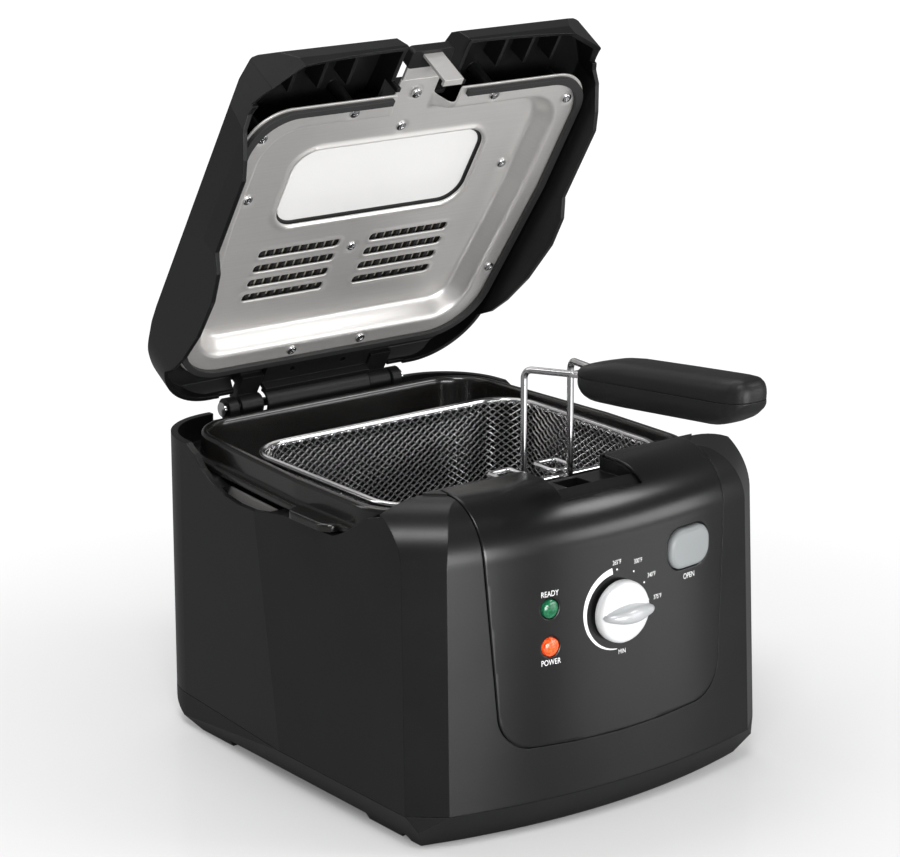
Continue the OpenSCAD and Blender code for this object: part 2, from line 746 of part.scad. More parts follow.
module basket_mesh() {
  z0 = bas_z - basket_height;
  g = rim_wire / 2 + 0.1;
  w = bw - g;
  color([0.6, 0.6, 0.62]) difference() {
    translate([0, 0, z0]) linear_extrude(basket_height)
      rr(-w, bas_f + g, w, bas_b - g, 22);
    translate([0, 0, z0 + 1.2]) linear_extrude(basket_height)
      rr(-w + 1.2, bas_f + g + 1.2, w - 1.2, bas_b - g - 1.2, 20.8);
    // diamond openings, long walls, side walls and floor
    through(bas_f - 5, bas_b + 5) for (k = [-4 : 4]) for (j = [0 : 2])
      translate([k * 14, z0 + 12 + j * 17]) rotate(45) square(8, center = true);
    across(2 * bw + 20) for (k = [-3 : 3]) for (j = [0 : 2])
      translate([(bas_f + bas_b) / 2 + k * 14, z0 + 12 + j * 17]) rotate(45) square(8, center = true);
    translate([0, 0, z0 - 1]) linear_extrude(4) for (k = [-4 : 4]) for (j = [-3 : 3])
      translate([k * 17, (bas_f + bas_b) / 2 + j * 16]) rotate(45) square(9, center = true);
  }
}

module basket_hooks() {
  r = 1.4;
  z = bas_z + rim_wire / 2 + r + 0.05;
  y = hy + handle_wire / 2 + r + 0.1;
  color([0.78, 0.78, 0.79]) for (s = [-1, 1]) {
    for (x = [8, 22]) bar([s * x, y, z], [s * x, -43, z], r);
    for (q = [y, -43]) bar([s * 15 - 8.3, q, z], [s * 15 + 8.3, q, z], r + 0.06);
  }
}

module handle_wires() {
  r = handle_wire / 2;
  color([0.8, 0.8, 0.81]) for (s = [-1, 1]) {
    a = [s * hx, hy, bas_z - basket_height + 4];
    b = [s * hx, hy, hz];
    c = [s * hx, hy - 7, hz + 0.6];
    d = [s * 7, -93.9, grip_axis(-93.9)];
    f = [s * 7, -66 - grip_length, grip_axis(-66 - grip_length)];
    bar(a, b, r);
    bar(b, c, r);
    bar(c, d, r);
    bar(d, f, r);
    // knuckles that fill the bends
    translate(b) rotate([0, 90, 0]) cylinder(r = r + 0.2, h = 2 * r + 0.8, center = true);
    for (p = [c, d]) translate(p) cylinder(r = r + 0.2, h = 2 * r + 0.8, center = true);
  }
  // flattened cross piece before the grip
  color([0.8, 0.8, 0.81]) translate([-10, -95, hz + 1.4]) cube([20, 9, 2]);
}

// height of the grip's centre line
function grip_axis(y) = hz + 3 + (-96 - y) * tan(rise);

module grip_form(i) {
  translate([0, -96, hz + 2]) rotate([-rise, 0, 0]) translate([0, 0, 1])
    through(-grip_length, 0) rr(-13 + i, -grip_r + i, 13 - i, grip_r - i, 8);
}

module grip_split(z0, z1) {
  translate([0, -96, hz + 2]) rotate([-rise, 0, 0])
    translate([-20, -grip_length - 1, z0 + 1]) cube([40, grip_length + 2, z1 - z0]);
}

module grip_bores() {
  r = handle_wire / 2 + 0.08;
  for (s = [-1, 1]) bar([s * 7, -90, grip_axis(-90)],
    [s * 7, -67 - grip_length, grip_axis(-67 - grip_length)], r);
}

module grip_upper() {
  color([0.07, 0.07, 0.07]) difference() {
    intersection() { grip_form(0); grip_split(0.15, 20); }
    grip_bores();
    for (y = [-30, -95]) grip_screw(y, 1.4, 20);
  }
}

module grip_lower() {
  color([0.07, 0.07, 0.07]) difference() {
    intersection() { grip_form(0); grip_split(-20, -0.15); }
    grip_bores();
    for (y = [-30, -95]) { grip_screw(y, 1.7, 40); grip_screw(y, 3.3, 5.5); }
  }
}

module grip_screw(y, r, h, z = 0) {
  translate([0, -96, hz + 2]) rotate([-rise, 0, 0])
    translate([0, y * grip_length / 121, z - grip_r]) cylinder(r = r, h = h);
}

module grip_screws() {
  color([0.7, 0.7, 0.72]) for (y = [-30, -95]) {
    grip_screw(y, 1.3, 15, 3);
    grip_screw(y, 3.1, 2.3, 3);
  }
}

outer_housing();
base_plinth();
control_panel();
foot_pads();
base_screws();
cord_inlet();
heat_shield();
heater_plate();
heating_element();
thermostat();
thermal_cutout();
terminal_block();
ready_lens();
power_lens();
lamp_holders();
oil_pot();
hinge_bracket();
hinge_pin();
hinge_springs();
lid_shell();
lid_liner();
lid_gasket();
window_glass();
window_seal();
filter_pad();
filter_cover();
latch_tongue();
latch_cap();
hinge_cover();
hinge_arms();
lid_screws();
temperature_knob();
knob_spindle();
open_button();
latch_slider();
button_spring();
basket_rim();
basket_mesh();
basket_hooks();
handle_wires();
grip_upper();
grip_lower();
grip_screws();
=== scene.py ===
import bpy
import bmesh
import json
import math
import numpy as np
from mathutils import Matrix, Vector


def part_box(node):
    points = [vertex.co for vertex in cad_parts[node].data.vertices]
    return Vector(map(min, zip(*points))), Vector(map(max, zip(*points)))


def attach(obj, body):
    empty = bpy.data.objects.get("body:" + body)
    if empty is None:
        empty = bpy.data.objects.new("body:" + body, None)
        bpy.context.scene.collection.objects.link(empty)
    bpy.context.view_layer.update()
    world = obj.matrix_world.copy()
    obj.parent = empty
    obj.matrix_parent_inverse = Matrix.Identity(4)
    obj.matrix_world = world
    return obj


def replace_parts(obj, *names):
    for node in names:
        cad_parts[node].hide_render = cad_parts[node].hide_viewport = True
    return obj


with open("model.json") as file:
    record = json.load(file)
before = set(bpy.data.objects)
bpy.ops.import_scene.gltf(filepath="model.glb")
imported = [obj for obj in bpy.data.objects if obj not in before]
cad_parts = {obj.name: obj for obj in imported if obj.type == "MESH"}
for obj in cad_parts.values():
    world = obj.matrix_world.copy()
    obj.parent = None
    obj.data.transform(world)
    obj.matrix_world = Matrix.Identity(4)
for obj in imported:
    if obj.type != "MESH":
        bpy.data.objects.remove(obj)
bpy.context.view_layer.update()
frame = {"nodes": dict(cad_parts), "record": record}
mm = 0.001
print("frame loaded")

# sizes shared by several pieces, in millimetres
body = {
    "half": 115.0,        # half width
    "top": 175.0,
    "hoodRear": -75.5,
    "bow": 378.9,         # radius of the bowed front
    "flare": 0.9,         # how far its foot stands out
    "lean": 6.1,          # how far it leans back from foot to top
    "roll": 30.0,         # radius of the roll at its top
    "front": 125.0,       # reach of the front from the middle
    "linerZ": 168.2,      # liner plane, lid closed
}
body["bowY"] = body["bow"] - body["front"]
body["rollZ"] = body["top"] - body["roll"]
body["frontTall"] = body["top"] - 29
body["rollReach"] = body["bow"] + body["flare"] - body["lean"] - body["roll"]
plan = {
    "corner": 40,                   # rear corner radius
    "cornerIn": 40.12,
    "taper": 0.07874,               # the sides draw in towards the rear
    "taperStart": 10,
    "normal": (0.9969, 0.0785),     # of the drawn-in side
    "cut": ((71.7, -135), -97.7),   # front facet: its front end, and where it meets the side
    "cutMove": (1.531, 0.458),      # how far the facet's ends move for each millimetre inwards
}
hinge = {"y": 144.0, "z": 164.0, "open": 57.8}
lidTurn = (
    Matrix.Translation((0, hinge["y"] * mm, hinge["z"] * mm))
    @ Matrix.Rotation(math.radians(-hinge["open"]), 4, "X")
    @ Matrix.Translation((0, -hinge["y"] * mm, -hinge["z"] * mm))
)


# shader maths written as plain sums
class Wire:
    # one output socket of a node
    def __init__(self, paint, socket):
        self.paint = paint
        self.socket = socket

    def sum(self, kind, a, b):
        return self.paint.add("ShaderNodeMath", {"operation": kind}, {0: a, 1: b})

    def __add__(self, other):
        return self.sum("ADD", self, other)

    def __radd__(self, other):
        return self.sum("ADD", other, self)

    def __sub__(self, other):
        return self.sum("SUBTRACT", self, other)

    def __rsub__(self, other):
        return self.sum("SUBTRACT", other, self)

    def __mul__(self, other):
        return self.sum("MULTIPLY", self, other)

    def __rmul__(self, other):
        return self.sum("MULTIPLY", other, self)


class Nodes:
    def __init__(self, tree):
        self.tree = tree

    def add(self, kind, settings=None, values=None, out=0):
        node = self.tree.nodes.new(kind)
        for key, value in (settings or {}).items():
            if key == "stops":
                ramp = node.color_ramp
                while len(ramp.elements) < len(value):
                    ramp.elements.new(0.5)
                for element, (at, colour) in zip(ramp.elements, value):
                    element.position = at
                    element.color = (*colour, 1) if len(colour) == 3 else colour
            else:
                setattr(node, key, value)
        for key, value in (values or {}).items():
            self.feed(node.inputs[key], value)
        return Wire(self, node.outputs[out])

    def feed(self, socket, value):
        if isinstance(value, Wire):
            self.tree.links.new(value.socket, socket)
        elif socket.type == "RGBA" and len(value) == 3:
            socket.default_value = (*value, 1)
        else:
            socket.default_value = value


class Paint(Nodes):
    def __init__(self, name):
        self.material = bpy.data.materials.new(name)
        self.material.use_nodes = True
        super().__init__(self.material.node_tree)
        self.shader = self.tree.nodes["Principled BSDF"]
        self.place = self.add("ShaderNodeTexCoord", out="Object")

    def set(self, **values):
        for key, value in values.items():
            self.feed(self.shader.inputs[key.replace("_", " ")], value)

    def noise(self, scale, detail=3.0, stretch=None):
        at = self.place
        if stretch:
            at = self.add("ShaderNodeVectorMath", {"operation": "MULTIPLY"}, {0: at, 1: stretch})
        return self.add("ShaderNodeTexNoise", None, {"Vector": at, "Scale": scale, "Detail": detail})

    def clamp(self, wire, low, high):
        return self.add("ShaderNodeMapRange", None, {"Value": wire, 1: low, 2: high})

    def mix(self, factor, a, b):
        return self.add("ShaderNodeMix", {"data_type": "RGBA"}, {0: factor, 6: a, 7: b}, out=2)

    def relief(self, height, depth, edge):
        values = {"Height": height, "Distance": depth, "Strength": 1.0}
        if edge:
            values["Normal"] = self.add("ShaderNodeBevel", {"samples": 6}, {"Radius": edge})
        self.set(Normal=self.add("ShaderNodeBump", None, values))


def plastic(name, colour, rough, grain=1400, depth=0.00002, edge=0.0006, coat=0.0, spread=0.5,
            shine=0.5, wear=1.0):
    p = Paint(name)
    p.set(Specular_IOR_Level=shine)
    broad = p.noise(28, 4)
    fine = p.noise(grain, 2)
    dust = p.clamp(p.noise(420, 5), 0.62, 0.8)
    light = tuple(c * (1 + spread) + 0.002 for c in colour)
    tone = p.mix(broad, colour, light)
    p.set(Base_Color=p.mix(dust * (0.12 * wear), tone, tuple(c + 0.05 for c in colour)),
          Roughness=rough + (broad - 0.5) * (0.1 * wear) + fine * 0.06 + dust * (0.06 * wear) - 0.03)
    if coat:
        p.set(Coat_Weight=coat, Coat_Roughness=0.08)
    p.relief(fine, depth, edge)
    return p.material


def metal(name, colour, rough, stretch=None, scale=900, depth=0.00001, edge=0.0003, share=1.0):
    p = Paint(name)
    lines = p.noise(scale, 3, stretch)
    broad = p.noise(22, 3)
    tone = p.mix(broad, colour, tuple(c * 0.86 for c in colour))
    p.set(Base_Color=p.mix(lines * 0.4, tone, tuple(c * 0.72 for c in colour)),
          Metallic=share, Roughness=rough + (lines - 0.5) * 0.16 + (broad - 0.5) * 0.06)
    p.relief(lines, depth, edge)
    return p.material


finishes = {}
finishes["black_gloss"] = plastic("satinBlack", (0.005, 0.005, 0.0053), 0.33, shine=0.3, wear=0.5)
finishes["black_matte"] = plastic("mattBlack", (0.006, 0.006, 0.0063), 0.44,
                                  grain=1100, depth=0.00004, shine=0.3)
finishes["panel_gloss"] = plastic("polishedBlack", (0.004, 0.004, 0.0043), 0.24,
                                  grain=2600, depth=0.000004, edge=0.0004, spread=0.2, shine=0.45, wear=0.2)
finishes["rubber_black"] = plastic("blackRubber", (0.016, 0.016, 0.016), 0.62, grain=700, depth=0.00006)
finishes["nonstick"] = plastic("nonStickCoat", (0.006, 0.0055, 0.005), 0.2,
                               grain=2400, depth=0.000015, edge=0.0014, coat=0.4)
finishes["brushed"] = metal("brushedSteel", (0.86, 0.84, 0.82), 0.4, (12, 900, 12), 1, share=0.72)
finishes["wire_steel"] = metal("brightWire", (0.74, 0.74, 0.75), 0.16, None, 1500, 0.000004, 0)
finishes["alloy"] = metal("castAlloy", (0.5, 0.5, 0.51), 0.5, None, 500, 0.00005)
finishes["element_dark"] = metal("heaterSheath", (0.11, 0.1, 0.095), 0.55, None, 400, 0.00004)
finishes["grey_button"] = plastic("greyButton", (0.25, 0.265, 0.27), 0.4, edge=0.0005, spread=0.1)
finishes["cream_plastic"] = plastic("creamPlastic", (0.62, 0.6, 0.53), 0.5, spread=0.1)


def silverPaint(name, low, high):
    p = Paint(name)
    flake = p.noise(5200, 1)
    broad = p.noise(60, 3)
    p.set(Base_Color=p.mix(flake, (low, low + 0.01, low + 0.02), (high, high + 0.01, high + 0.02)),
          Metallic=0.2, Roughness=0.3 + (broad - 0.5) * 0.1 + flake * 0.04)
    p.relief(flake, 0.000006, 0.0005)
    return p.material


def lensPaint(name, dark, bright, glow):
    p = Paint(name)
    ripple = p.noise(900, 2)
    p.set(Base_Color=p.mix(ripple, dark, bright), Roughness=0.12 + ripple * 0.05,
          Emission_Color=p.mix(p.clamp(ripple, 0.42, 0.62), dark, bright), Emission_Strength=glow,
          Coat_Weight=0.6)
    p.relief(ripple, 0.00025, 0)
    return p.material


def glassPaint():
    p = Paint("clearPane")
    haze = p.noise(60, 4)
    p.set(Base_Color=(1.0, 0.995, 0.985), Roughness=0.2 + haze * 0.02, Transmission_Weight=0.3, IOR=1.45)
    p.relief(haze, 0.000002, 0.0006)
    return p.material


def feltPaint():
    p = Paint("filterFelt")
    fibre = p.noise(2600, 6, (1, 3, 1))
    p.set(Base_Color=p.mix(fibre, (0.34, 0.31, 0.25), (0.6, 0.57, 0.49)), Roughness=0.85 + fibre * 0.1)
    p.relief(fibre, 0.0003, 0)
    return p.material


def printPaint():
    p = Paint("whitePrint")
    patch = p.noise(3000, 3)
    p.set(Base_Color=p.mix(patch, (0.78, 0.78, 0.78), (0.86, 0.86, 0.86)), Roughness=0.5 + patch * 0.1)
    return p.material


finishes["silver_dial"] = silverPaint("silverDial", 0.74, 0.84)
# the wing's silver is a darker copy of the dial's silver: painted shade, toning down the wing, which faces
# the key light
shadedWingSilver = silverPaint("silverWingShaded", 0.42, 0.52)
finishes["green_lens"] = lensPaint("greenLens", (0.0, 0.03, 0.012), (0.01, 0.2, 0.08), 0.25)
finishes["red_lens"] = lensPaint("redLens", (0.35, 0.008, 0.002), (1.0, 0.13, 0.02), 0.9)
finishes["glass_pane"] = glassPaint()
finishes["filter_felt"] = feltPaint()
whitePrint = printPaint()
print("finishes made")

slotOf = {s["node"]: s["material_slot"] for s in frame["record"]["subparts"]}
bodyOf = {n: b for b, ns in frame["record"]["behaviour"]["bodies"].items() for n in ns}
for nodeName, node in frame["nodes"].items():
    node.data.materials.clear()
    node.data.materials.append(finishes[slotOf[nodeName]])
print("carried-over pieces painted")


# building helpers; meshes are drawn in millimetres, and lid pieces with the lid closed
def addPiece(name, mesh, node, onLid=False, paint=None, smooth=True):
    data = bpy.data.meshes.new(name)
    mesh.transform(Matrix.Scale(mm, 4))
    mesh.normal_update()
    mesh.to_mesh(data)
    mesh.free()
    piece = bpy.data.objects.new(name, data)
    bpy.context.scene.collection.objects.link(piece)
    return dress(piece, node, onLid, paint, smooth)


def dress(piece, node, onLid=False, paint=None, smooth=True):
    # gives a piece its finish, its body and its slot, all as the node has them
    if onLid:
        piece.matrix_world = lidTurn
    slot = slotOf[node]
    piece.data.materials.append(paint or finishes[slot])
    if smooth and piece.type == "MESH":
        for face in piece.data.polygons:
            face.use_smooth = True
        piece.data.set_sharp_from_angle(angle=math.radians(38))
    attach(piece, bodyOf[node])
    return piece


def boxInside(u, v, x0, y0, x1, y1, r=0.0):
    # distance inside a rounded rectangle, below zero outside
    qx = np.abs(u - (x0 + x1) / 2) - ((x1 - x0) / 2 - r)
    qy = np.abs(v - (y0 + y1) / 2) - ((y1 - y0) / 2 - r)
    return r - np.hypot(np.maximum(qx, 0), np.maximum(qy, 0)) - np.minimum(np.maximum(qx, qy), 0)


def lineInside(u, v, p, q):
    # distance to the left of the line from p to q
    dx, dy = q[0] - p[0], q[1] - p[1]
    return (dx * (v - p[1]) - dy * (u - p[0])) / math.hypot(dx, dy)


def planInside(u, v, i, rear):
    # distance inside the body outline moved in by i, its rear wall at rear
    cornerY = rear - plan["corner"]
    cornerX = body["half"] - (plan["cornerIn"] + (cornerY - plan["taperStart"]) * plan["taper"])
    k = plan["corner"] - i
    side = body["half"] - i
    (cutX, cutY), cutEnd = plan["cut"]
    nx, ny = plan["normal"]
    moveX, moveY = plan["cutMove"]
    x = np.abs(u)
    d = np.minimum(side - x, rear - i - v)
    d = np.minimum(d, lineInside(x, v, (side, plan["taperStart"]), (cornerX + nx * k, cornerY + ny * k)))
    d = np.minimum(d, lineInside(x, v, (cutX - moveX * i, cutY), (side, cutEnd + moveY * i)))
    corner = k - np.hypot(x - cornerX, v - cornerY)
    return np.where((x > cornerX) & (v > cornerY), np.minimum(d, corner), d)


def sheet(inside, place, area, step, rim, depth, turns=4, back=False):
    # a skin over the region where inside is above zero, with a rounded rim turned in to depth
    x0, y0, x1, y1 = area
    nu, nv = int((x1 - x0) / step) + 2, int((y1 - y0) / step) + 2
    us, vs = x0 + step * np.arange(nu), y0 + step * np.arange(nv)
    grid = inside(*np.meshgrid(us, vs, indexing="ij")) - rim
    mesh = bmesh.new()
    flat, made, polys = [], {}, []

    def corner(key, u, v):
        if key not in made:
            made[key] = len(flat)
            flat.append((u, v))
        return made[key]

    for i in range(nu - 1):
        for j in range(nv - 1):
            cell = [(i, j), (i + 1, j), (i + 1, j + 1), (i, j + 1)]
            value = [grid[c] for c in cell]
            if max(value) <= 0:
                continue
            ring = []
            for k in range(4):
                a, b, fa, fb = cell[k], cell[(k + 1) % 4], value[k], value[(k + 1) % 4]
                if fa > 0:
                    ring.append(corner(a, us[a[0]], vs[a[1]]))
                if (fa > 0) != (fb > 0):
                    t = min(max(fa / (fa - fb), 0.02), 0.98)
                    ring.append(corner((min(a, b), max(a, b)), us[a[0]] + t * (us[b[0]] - us[a[0]]),
                                       vs[a[1]] + t * (vs[b[1]] - vs[a[1]])))
            if len(ring) > 2:
                polys.append(ring)
    flatArray = np.array(flat)
    verts = [mesh.verts.new(p) for p in place(flatArray[:, 0], flatArray[:, 1], np.zeros(len(flat)))]
    for ring in polys:
        mesh.faces.new([verts[k] for k in ring])
    used = {}
    for ring in polys:
        for k in range(len(ring)):
            a, b = ring[k], ring[(k + 1) % len(ring)]
            used[(a, b)] = used.get((a, b), 0) + 1
    edges = [e for e in used if (e[1], e[0]) not in used]
    if edges:
        idx = sorted({k for e in edges for k in e})
        u, v = flatArray[idx, 0], flatArray[idx, 1]
        e = 0.05
        gu = inside(u + e, v) - inside(u - e, v)
        gv = inside(u, v + e) - inside(u, v - e)
        size = np.maximum(np.hypot(gu, gv), 1e-9)
        gu, gv = -gu / size, -gv / size
        before = {k: verts[k] for k in idx}
        bends = [t * math.pi / 2 / turns for t in range(1, turns + 1)]
        levels = [(math.sin(t) * rim, -rim * (1 - math.cos(t))) for t in bends]
        for out, down in levels + [(rim, -depth)]:
            row = place(u + gu * out, v + gv * out, np.full(len(idx), down))
            now = {k: mesh.verts.new(p) for k, p in zip(idx, row)}
            for a, b in edges:
                mesh.faces.new([before[b], before[a], now[a], now[b]])
            before = now
    if back:
        copy = place(flatArray[:, 0], flatArray[:, 1], np.full(len(flat), -depth))
        lower = [mesh.verts.new(p) for p in copy]
        for ring in polys:
            mesh.faces.new([lower[k] for k in reversed(ring)])
    bmesh.ops.recalc_face_normals(mesh, faces=mesh.faces)
    return mesh


def loft(rings):
    # skin over closed rings of points with the same count, with both ends filled
    mesh = bmesh.new()
    rows = [[mesh.verts.new(p) for p in ring] for ring in rings]
    n = len(rings[0])
    for a, b in zip(rows, rows[1:]):
        for k in range(n):
            mesh.faces.new([a[k], a[(k + 1) % n], b[(k + 1) % n], b[k]])
    mesh.faces.new(list(reversed(rows[0])))
    mesh.faces.new(rows[-1])
    bmesh.ops.recalc_face_normals(mesh, faces=mesh.faces)
    return mesh


def lathe(profile, place, count):
    # profile of (radius, height), turned about its axis; place maps (across, up, height) to a point
    turns = [2 * math.pi * k / count for k in range(count)]
    return loft([[place(r * math.cos(t), r * math.sin(t), h) for t in turns] for r, h in profile])


def rounded(points, radius, count=6, closed=False):
    # polyline with its inner corners rounded
    points = [Vector(p) for p in points]
    n = len(points)
    path = []
    for k in range(n):
        if not closed and k in (0, n - 1):
            path.append(points[k])
            continue
        p, a, b = points[k], points[k - 1], points[(k + 1) % n]
        da, db = (a - p).normalized(), (b - p).normalized()
        angle = da.angle(db)
        cut = min(radius / math.tan(angle / 2), (a - p).length / 2.01, (b - p).length / 2.01)
        r = cut * math.tan(angle / 2)
        centre = p + (da + db).normalized() * (r / math.sin(angle / 2))
        start, end = p + da * cut - centre, p + db * cut - centre
        for t in range(count + 1):
            path.append(centre + start.slerp(end, t / count).normalized() * r)
    return path


def wireCurve(name, paths, radius, node, closed=False, sides=6):
    # round wire bent along each path
    curve = bpy.data.curves.new(name, "CURVE")
    curve.dimensions = "3D"
    curve.bevel_depth = radius * mm
    curve.bevel_resolution = sides
    curve.use_fill_caps = True
    for path in paths:
        spline = curve.splines.new("POLY")
        spline.points.add(len(path) - 1)
        for point, p in zip(spline.points, path):
            point.co = (p[0] * mm, p[1] * mm, p[2] * mm, 1)
        spline.use_cyclic_u = closed
    piece = bpy.data.objects.new(name, curve)
    bpy.context.scene.collection.objects.link(piece)
    for spline in curve.splines:
        spline.use_smooth = True
    return dress(piece, node)


def tubes(paths, radius, sides=6):
    # many thin wires as one mesh
    mesh = bmesh.new()
    for path in paths:
        path = np.array(path)
        along = np.gradient(path, axis=0)
        along /= np.linalg.norm(along, axis=1)[:, None]
        up = np.where(np.abs(along[:, 2:3]) > 0.9, np.array([[1.0, 0, 0]]), np.array([[0, 0, 1.0]]))
        side = np.cross(along, up)
        side /= np.linalg.norm(side, axis=1)[:, None]
        top = np.cross(side, along)
        rows = []
        for k in range(sides):
            t = 2 * math.pi * k / sides
            rows.append(path + radius * (math.cos(t) * side + math.sin(t) * top))
        rings = [[mesh.verts.new(rows[k][i]) for k in range(sides)] for i in range(len(path))]
        for a, b in zip(rings, rings[1:]):
            for k in range(sides):
                mesh.faces.new([a[k], a[(k + 1) % sides], b[(k + 1) % sides], b[k]])
        mesh.faces.new(list(reversed(rings[0])))
        mesh.faces.new(rings[-1])
    return mesh


def smoothStep(t):
    t = np.clip(t, 0, 1)
    return t * t * (3 - 2 * t)


def frontReach(z, out):
    # radius of the bowed front at height z, moved out by out
    plain = body["bow"] + body["flare"] - body["lean"] * (z + 1) / body["frontTall"] + out
    up = z - body["rollZ"]
    rolled = body["rollReach"] + np.sqrt(np.maximum((body["roll"] + out) ** 2 - up ** 2, 0))
    return np.where(up > 0, rolled, plain)


def frontY(x, z, out=0.0):
    return body["bowY"] - np.sqrt(frontReach(np.asarray(z, float), out) ** 2 - np.asarray(x, float) ** 2)


panel = {
    "topHalf": 77.5, "lowHalf": 71.8,     # half widths above and below
    "widenFrom": 68, "widenTo": 150,
    "low": 48.475, "bow": 1.8,            # lower edge, and how much it sags in the middle
    "corner": 20, "stand": 0.5, "rim": 0.7, "depth": 1.8,
    "start": 40,                          # height that distances up the front count from
    "rollFrom": 160,                      # above this the scoop and the rear edge are cut
    "rearGap": 2, "scoop": (25, 108.5),
    "button": (49, 132), "buttonHole": (15.25, 11, 9.5),
    "dial": (-1, 110.005), "dialHole": 4,
    "lamps": (-42, 118.005, 98.505), "lampHole": 5.05,
}


def panelRun(s):
    # height and reach at distance s up the front and over the roll
    roll, rollZ = body["roll"], body["rollZ"]
    lean = body["lean"] / body["frontTall"]
    rise = math.cos(math.atan(lean))
    length = (rollZ - panel["start"]) / rise
    z = np.where(s < length, panel["start"] + s * rise, rollZ)
    t = np.clip((s - length) / roll, 0, math.pi / 2)
    z = z + np.where(s < length, 0, roll * np.sin(t))
    plain = body["bow"] + body["flare"] - lean * (z + 1)
    reach = np.where(s < length, plain, body["rollReach"] + roll * np.cos(t))
    reach = reach - np.maximum(s - length - roll * math.pi / 2, 0)
    nz = np.where(s < length, lean, np.sin(t))
    return z, reach, nz, np.sqrt(1 - nz ** 2)


def panelPlace(u, s, h):
    z, reach, nz, nr = panelRun(s)
    lift = panel["stand"] + h
    reach, z = reach + lift * nr, z + lift * nz
    return np.stack([u, body["bowY"] - np.sqrt(reach ** 2 - u ** 2), z], axis=1)


def panelInside(u, s):
    z, reach, _, _ = panelRun(s)
    cx, cz = panel["lowHalf"] - panel["corner"], panel["low"] + panel["corner"]
    widen = (panel["topHalf"] - panel["lowHalf"]) / (panel["widenTo"] - panel["widenFrom"])
    half = np.where(z > panel["widenTo"], panel["topHalf"],
                    panel["lowHalf"] + widen * (z - panel["widenFrom"]))
    x = np.abs(u)
    low = panel["low"] - panel["bow"] + panel["bow"] * (x / 52) ** 2
    d = np.minimum(half - x, z - low)
    d = np.where((x > cx) & (z < cz), np.minimum(d, panel["corner"] - np.hypot(x - cx, z - cz)), d)
    y = body["bowY"] - np.sqrt(reach ** 2 - u ** 2)
    d = np.where(z > panel["rollFrom"], np.minimum(d, body["hoodRear"] - panel["rearGap"] - y), d)
    bx, bz = panel["button"]
    wide, tall, corner = panel["buttonHole"]
    d = np.minimum(d, -boxInside(u, z, bx - wide, bz - tall, bx + wide, bz + tall, corner))
    d = np.minimum(d, np.hypot(u - panel["dial"][0], z - panel["dial"][1]) - panel["dialHole"])
    for lampZ in panel["lamps"][1:]:
        d = np.minimum(d, np.hypot(u - panel["lamps"][0], z - lampZ) - panel["lampHole"])
    scoopHalf, scoopFront = panel["scoop"]
    scoop = np.minimum(scoopHalf - x, y + scoopFront)
    return np.where(z > panel["rollFrom"], np.minimum(d, -scoop), d)


mesh = sheet(panelInside, panelPlace, (-79, 3, 79, 182), 1.6, panel["rim"], panel["depth"])
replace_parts(addPiece("front_panel", mesh, "control_panel"), "control_panel")
print("control panel made")


# printed marks on the panel
marks = {
    "height": 4.1, "small": 3.4, "figure": 3.3,   # letter heights
    "lift": 0.56,                                 # above the front, just clear of the panel
    "centre": (-1, 110), "ring": 20.4, "dotRing": 20.6, "dot": 0.5,
    "sweep": (98, 170, 64),                       # tapering band: start, turn and pieces
    "numbers": (("265", 90, 24.2), ("300", 58, 26.3), ("340", 30, 26.5), ("375", 2, 27.0)),
}


def onPanel(x, z):
    return x, float(frontY(x, z, marks["lift"])), z


def fromDial(angle, far):
    return marks["centre"][0] + far * math.cos(angle), marks["centre"][1] + far * math.sin(angle)


def printed(name, words, x, z, height, squeeze=0.8):
    font = bpy.data.curves.new(name, "FONT")
    font.body = words
    font.size = height
    font.align_x = "CENTER"
    font.align_y = "CENTER"
    source = bpy.data.objects.new(name + "Text", font)
    bpy.context.scene.collection.objects.link(source)
    bpy.context.view_layer.update()
    flat = bpy.data.meshes.new_from_object(source)
    bpy.data.objects.remove(source)
    mesh = bmesh.new()
    mesh.from_mesh(flat)
    bmesh.ops.triangulate(mesh, faces=mesh.faces)
    for v in mesh.verts:
        v.co = onPanel(x + v.co.x * squeeze, z + v.co.y)
    addPiece(name, mesh, "control_panel", paint=whitePrint, smooth=False)


printed("mark_ready", "READY", -42, 125.6, marks["height"])
printed("mark_power", "POWER", -42, 90.6, marks["height"])
printed("mark_open", "OPEN", 49, 116.8, marks["height"])
printed("mark_min", "MIN", 1.6, 87.6, marks["small"])
dots = bmesh.new()
for word, angle, far in marks["numbers"]:
    t = math.radians(angle)
    printed("mark_" + word, word + "°F", *fromDial(t, far), marks["figure"], 0.72)
    cx, cz = fromDial(t, marks["dotRing"])
    ring = [(cx + marks["dot"] * math.cos(a), cz + marks["dot"] * math.sin(a))
            for a in np.linspace(0, 2 * math.pi, 12, endpoint=False)]
    dots.faces.new([dots.verts.new(onPanel(px, pz)) for px, pz in reversed(ring)])
start, turn, sweep = marks["sweep"]
inner, outer = [], []
for k in range(sweep + 1):
    t = math.radians(start + turn * k / sweep)
    wide = 2.9 * (1 - k / sweep) ** 0.8 + 0.4
    for r, row in ((marks["ring"] - wide / 2, inner), (marks["ring"] + wide / 2, outer)):
        row.append(dots.verts.new(onPanel(*fromDial(t, r))))
for k in range(sweep):
    dots.faces.new([inner[k], inner[k + 1], outer[k + 1], outer[k]])
bmesh.ops.recalc_face_normals(dots, faces=dots.faces)
addPiece("mark_dial_scale", dots, "control_panel", paint=whitePrint, smooth=False)
print("marks printed")


def facing(x, z, y0):
    # place for things turned about an axis that points forward from the panel
    return lambda a, b, h: (x + a, y0 - h, z + b)


